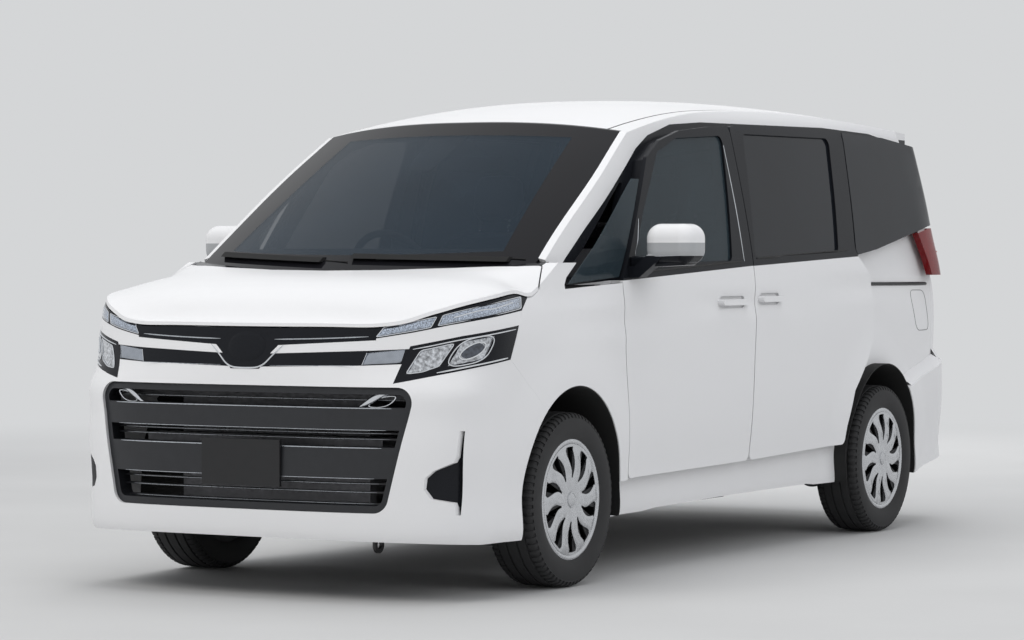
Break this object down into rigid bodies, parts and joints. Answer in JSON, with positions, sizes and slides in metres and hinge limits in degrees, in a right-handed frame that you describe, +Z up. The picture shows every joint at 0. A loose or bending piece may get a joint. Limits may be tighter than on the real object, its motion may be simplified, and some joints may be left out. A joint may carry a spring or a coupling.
{
  "type": "minivan",
  "caption": "Tall one-box passenger van with hinged front doors, sliding side doors, tailgate, hood, steered front wheels and three rows of seats.",
  "frame": {"origin": "middle of the vehicle's box, on the ground", "axes": "+Z up, front faces -Y, left side is +X"},
  "size_m": [2.2, 4.6991, 1.8653],
  "materials": {
    "paint_white": "pearl white gloss paint",
    "trim_black": "gloss black trim",
    "plastic_dark": "grained dark plastic",
    "glass_clear": "green tinted glass",
    "glass_dark": "privacy glass",
    "lamp_clear": "clear lamp cover",
    "lamp_red": "red lamp cover",
    "wheel_silver": "silver painted wheel cover",
    "tyre": "tread rubber",
    "steel_dark": "coated chassis steel",
    "iron": "cast",
    "fabric_dark": "dark woven seat cloth",
    "dash_plastic": "soft dash plastic",
    "liner": "felt plastic liner"
  },
  "bodies": {
    "body": {"body_side_left": "paint_white", "body_side_right": "paint_white", "roof_panel": "paint_white", "fenders": "paint_white", "front_bumper": "paint_white", "rear_bumper": "paint_white", "sliding_doors": "paint_white", "windscreen": "glass_clear", "corner_glass": "glass_clear", "sliding_door_glass": "glass_dark", "rear_quarter_glass": "glass_dark", "headlamps": "lamp_clear", "tail_lamps": "lamp_red", "upper_grille": "trim_black", "lower_grille": "plastic_dark", "fog_recesses": "trim_black", "front_plate": "plastic_dark", "cowl_panel": "plastic_dark", "wipers": "plastic_dark", "floor_pan": "steel_dark", "wheelhouse_liners": "liner", "front_subframe": "steel_dark", "engine_block": "iron", "radiator_support": "steel_dark", "rear_axle": "steel_dark", "fuel_tank": "plastic_dark", "exhaust": "steel_dark", "dashboard": "dash_plastic", "front_seats": "fabric_dark", "second_row_seats": "fabric_dark", "third_row_seats": "fabric_dark"},
    "hood": {"hood": "paint_white"},
    "tailgate": {"tailgate": "paint_white", "tailgate_glass": "glass_dark"},
    "front_door_left": {"front_door_left": "paint_white", "front_door_glass_left": "glass_clear", "mirror_left": "paint_white"},
    "front_door_right": {"front_door_right": "paint_white", "front_door_glass_right": "glass_clear", "mirror_right": "paint_white"},
    "steering_wheel": {"steering_wheel": "dash_plastic"},
    "knuckle_left": {"knuckle_left": "iron"},
    "knuckle_right": {"knuckle_right": "iron"},
    "wheel_front_left": {"wheel_front_left": "wheel_silver", "tyre_front_left": "tyre"},
    "wheel_front_right": {"wheel_front_right": "wheel_silver", "tyre_front_right": "tyre"},
    "wheel_rear_left": {"wheel_rear_left": "wheel_silver", "tyre_rear_left": "tyre"},
    "wheel_rear_right": {"wheel_rear_right": "wheel_silver", "tyre_rear_right": "tyre"}
  },
  "joints": [
    {"name": "hood_hinge", "type": "hinge", "parent": "body", "child": "hood", "pos_m": [0, -1.52, 1.2], "axis": [-1, 0, 0], "range_deg": [0, 55]},
    {"name": "tailgate_hinge", "type": "hinge", "parent": "body", "child": "tailgate", "pos_m": [0, 2.06, 1.83], "axis": [1, 0, 0], "range_deg": [0, 85]},
    {"name": "front_door_left_hinge", "type": "hinge", "parent": "body", "child": "front_door_left", "pos_m": [0.853, -1.036, 0.9], "axis": [0, 0, -1], "range_deg": [0, 65]},
    {"name": "front_door_right_hinge", "type": "hinge", "parent": "body", "child": "front_door_right", "pos_m": [-0.853, -1.036, 0.9], "axis": [0, 0, 1], "range_deg": [0, 65]},
    {"name": "steer_left", "type": "hinge", "parent": "body", "child": "knuckle_left", "pos_m": [0.68, -1.4425, 0.32], "axis": [0, 0, 1], "range_deg": [-35, 35]},
    {"name": "steer_right", "type": "hinge", "parent": "body", "child": "knuckle_right", "pos_m": [-0.68, -1.4425, 0.32], "axis": [0, 0, 1], "range_deg": [-35, 35]},
    {"name": "steering_wheel_turn", "type": "hinge", "parent": "body", "child": "steering_wheel", "pos_m": [-0.37, -0.7, 1.135], "axis": [0, 0.9063, 0.4226], "range_deg": [-525, 525]},
    {"name": "wheel_front_left_spin", "type": "hinge", "parent": "knuckle_left", "child": "wheel_front_left", "pos_m": [0.75, -1.4425, 0.32], "axis": [1, 0, 0], "continuous": true},
    {"name": "wheel_front_right_spin", "type": "hinge", "parent": "knuckle_right", "child": "wheel_front_right", "pos_m": [-0.75, -1.4425, 0.32], "axis": [1, 0, 0], "continuous": true},
    {"name": "wheel_rear_left_spin", "type": "hinge", "parent": "body", "child": "wheel_rear_left", "pos_m": [0.7575, 1.4075, 0.32], "axis": [1, 0, 0], "continuous": true},
    {"name": "wheel_rear_right_spin", "type": "hinge", "parent": "body", "child": "wheel_rear_right", "pos_m": [-0.7575, 1.4075, 0.32], "axis": [1, 0, 0], "continuous": true}
  ],
  "couplings": [
    {"joint": "steer_right", "follows": "steer_left", "ratio": 1},
    {"joint": "steering_wheel_turn", "follows": "steer_left", "ratio": 15}
  ]
}
